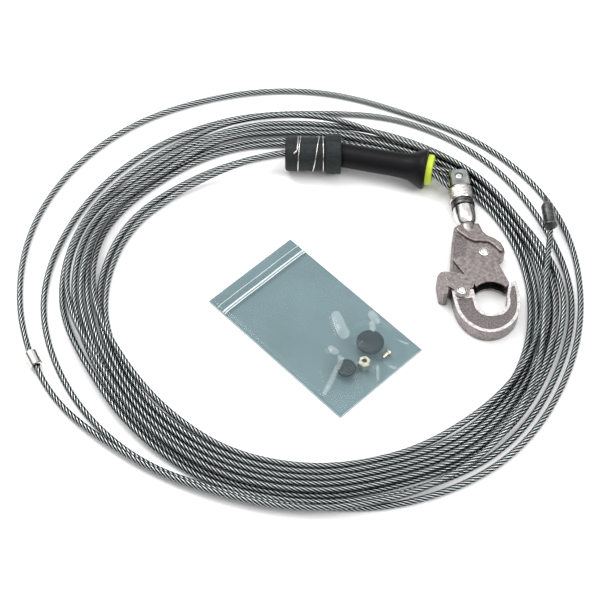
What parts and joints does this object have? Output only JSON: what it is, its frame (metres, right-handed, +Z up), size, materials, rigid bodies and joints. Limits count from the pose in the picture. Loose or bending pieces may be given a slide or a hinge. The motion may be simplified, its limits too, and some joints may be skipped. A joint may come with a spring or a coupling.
{
  "type": "self retracting lifeline cable assembly",
  "caption": "Coiled wire rope lifeline with a swivelling snap hook, hand grip, rubber bumper, crimped ferrules and a small bag of fittings.",
  "frame": {"origin": "on the ground under the middle of the hook, grip, ferrules and bag (all but the rope)", "axes": "+Z up, +X along the coil's longer diameter towards the end ferrule, +Y from the bag towards the bumper"},
  "size_m": [0.4351, 0.3979, 0.0333],
  "materials": {
    "rope_steel": "bright galvanised wire rope",
    "polished_steel": "polished",
    "dark_steel": "satin",
    "forged_steel": "plated, satin",
    "bumper_rubber": "matte",
    "grip_black": "satin",
    "lime_plastic": "semi-gloss",
    "bag_film": "see-through film",
    "plug_black": "satin",
    "zinc": "zinc plated"
  },
  "bodies": {
    "lifeline": {"rope_coil": "rope_steel", "rope_outer_turn": "rope_steel", "rope_lead": "rope_steel", "rope_tail": "rope_steel", "rope_eye": "rope_steel", "eye_thimble": "lime_plastic", "swage_sleeve": "dark_steel", "stop_ferrule": "polished_steel", "end_ferrule": "dark_steel"},
    "bumper": {"bumper_shell_front": "bumper_rubber", "bumper_shell_rear": "bumper_rubber", "binding_wire": "polished_steel"},
    "handle": {"handle_core": "lime_plastic", "handle_grip": "grip_black"},
    "yoke": {"swivel_yoke": "polished_steel", "clevis_pin": "polished_steel", "swivel_band": "polished_steel", "swivel_collar": "polished_steel", "post_nut": "dark_steel", "thrust_washer": "polished_steel"},
    "hook": {"hook_body": "forged_steel", "swivel_housing": "polished_steel", "gate_rivet": "polished_steel", "lever_rivet": "polished_steel", "gate_spring": "dark_steel", "lever_spring": "dark_steel"},
    "gate": {"snap_gate": "forged_steel"},
    "lever": {"lock_lever": "forged_steel"},
    "bag": {"bag_back_film": "bag_film", "bag_front_film": "bag_film", "zip_groove": "bag_film", "zip_rib": "bag_film", "large_plug": "plug_black", "small_plug": "plug_black", "hex_standoff": "zinc", "spare_screw": "zinc"}
  },
  "joints": [
    {"name": "yoke_swing", "type": "hinge", "parent": "lifeline", "child": "yoke", "pos_m": [0.12959, 0.08798, 0.01026], "axis": [0.002, -0.0191, 0.9998], "range_deg": [-20, 0]},
    {"name": "hook_swivel", "type": "hinge", "parent": "yoke", "child": "hook", "pos_m": [0.1299, 0.085, 0.0102], "axis": [0.1045, -0.9943, -0.0192], "continuous": true},
    {"name": "gate_open", "type": "hinge", "parent": "hook", "child": "gate", "pos_m": [0.14538, 0.01424, 0.00882], "axis": [0.002, -0.0191, 0.9998], "range_deg": [-38, 0], "stiffness_Nm_per_rad": 0.05, "springref_deg": 11.46},
    {"name": "lever_press", "type": "hinge", "parent": "hook", "child": "lever", "pos_m": [0.12616, -0.02296, 0.00815], "axis": [0.002, -0.0191, 0.9998], "range_deg": [0, 14]},
    {"name": "handle_spin", "type": "hinge", "parent": "lifeline", "child": "handle", "pos_m": [0.0315, 0.1115, 0.0166], "axis": [0.9763, -0.2164, 0], "continuous": true},
    {"name": "bumper_slide", "type": "slide", "parent": "lifeline", "child": "bumper", "axis": [-1, 0, 0], "range_m": [0, 0.008]},
    {"name": "bag_lift", "type": "slide", "parent": "lifeline", "child": "bag", "axis": [0, 0, 1], "range_m": [0, 0.06]}
  ],
  "couplings": [
    {"joint": "lever_press", "follows": "gate_open", "ratio": -0.35}
  ]
}
